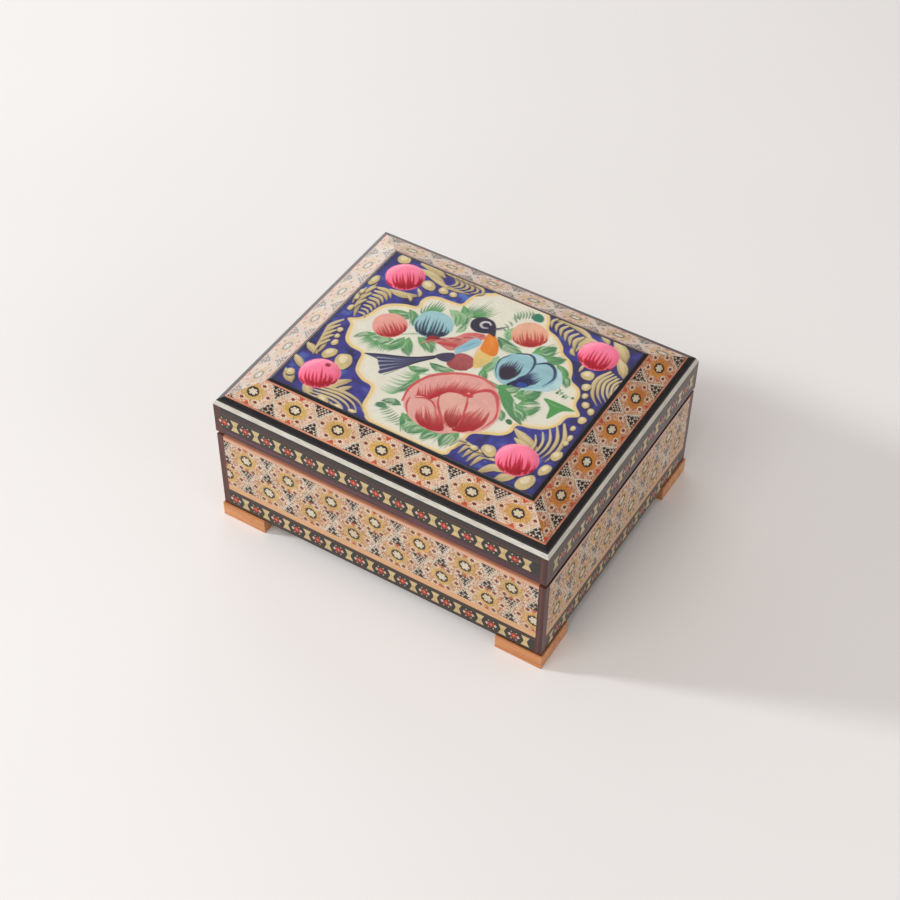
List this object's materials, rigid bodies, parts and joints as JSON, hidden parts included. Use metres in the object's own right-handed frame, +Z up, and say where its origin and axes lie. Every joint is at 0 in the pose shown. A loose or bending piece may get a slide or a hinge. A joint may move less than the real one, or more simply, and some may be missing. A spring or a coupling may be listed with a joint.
{
  "type": "jewellery box",
  "caption": "Rectangular wooden jewellery box with marquetry veneer, corner feet, velvet lining, and a hinged lid with a sloped border round a painted panel.",
  "frame": {"origin": "on the table under the middle of the closed box", "axes": "+Z up, +X along the front to the right, +Y to the back, where the hinges are"},
  "size_m": [0.1208, 0.099, 0.0593],
  "materials": {
    "core_wood": "stained and lacquered hardwood",
    "khatam_inlay": "fine star marquetry under clear lacquer",
    "khatam_band": "dark band with red and cream motifs under clear lacquer",
    "rosewood": "polished rosewood",
    "foot_wood": "lacquered light orange wood",
    "velvet": "crimson velvet",
    "bone": "polished white bone",
    "ebony": "polished ebony",
    "brass": "brushed brass",
    "painted_panel": "painted and lacquered",
    "painted_bud": "raised paint under lacquer"
  },
  "bodies": {
    "base": {"base_band_back": "khatam_band", "base_band_front": "khatam_band", "base_band_left": "khatam_band", "base_band_right": "khatam_band", "base_board": "core_wood", "base_khatam_back": "khatam_inlay", "base_khatam_front": "khatam_inlay", "base_khatam_left": "khatam_inlay", "base_khatam_right": "khatam_inlay", "base_lining_back": "velvet", "base_lining_floor": "velvet", "base_lining_front": "velvet", "base_lining_left": "velvet", "base_lining_right": "velvet", "base_post_back_left": "rosewood", "base_post_back_right": "rosewood", "base_post_front_left": "rosewood", "base_post_front_right": "rosewood", "base_wall_back": "core_wood", "base_wall_front": "core_wood", "base_wall_left": "core_wood", "base_wall_right": "core_wood", "foot_back_left": "foot_wood", "foot_back_right": "foot_wood", "foot_front_left": "foot_wood", "foot_front_right": "foot_wood", "hinge_leaf_base_left": "brass", "hinge_leaf_base_right": "brass", "hinge_nails_base": "brass", "hinge_pins": "brass"},
    "lid": {"bone_strip_back": "bone", "bone_strip_front": "bone", "bone_strip_left": "bone", "bone_strip_right": "bone", "hinge_leaf_lid_left": "brass", "hinge_leaf_lid_right": "brass", "hinge_nails_lid": "brass", "lid_band_back": "khatam_band", "lid_band_front": "khatam_band", "lid_band_left": "khatam_band", "lid_band_right": "khatam_band", "lid_board": "core_wood", "lid_lining_pad": "velvet", "lid_lining_sides": "velvet", "lid_posts": "rosewood", "lid_rail_back": "core_wood", "lid_rail_front": "core_wood", "lid_rail_left": "core_wood", "lid_rail_right": "core_wood", "lid_rim_strips": "rosewood", "painted_buds": "painted_bud", "painted_panel": "painted_panel", "slope_black_inner": "ebony", "slope_black_outer": "ebony", "slope_khatam_back": "khatam_inlay", "slope_khatam_front": "khatam_inlay", "slope_khatam_left": "khatam_inlay", "slope_khatam_right": "khatam_inlay"}
  },
  "joints": [
    {"name": "lid_hinge", "type": "hinge", "parent": "base", "child": "lid", "pos_m": [0, 0.0481, 0.03835], "axis": [-1, 0, 0], "range_deg": [0, 100]}
  ]
}
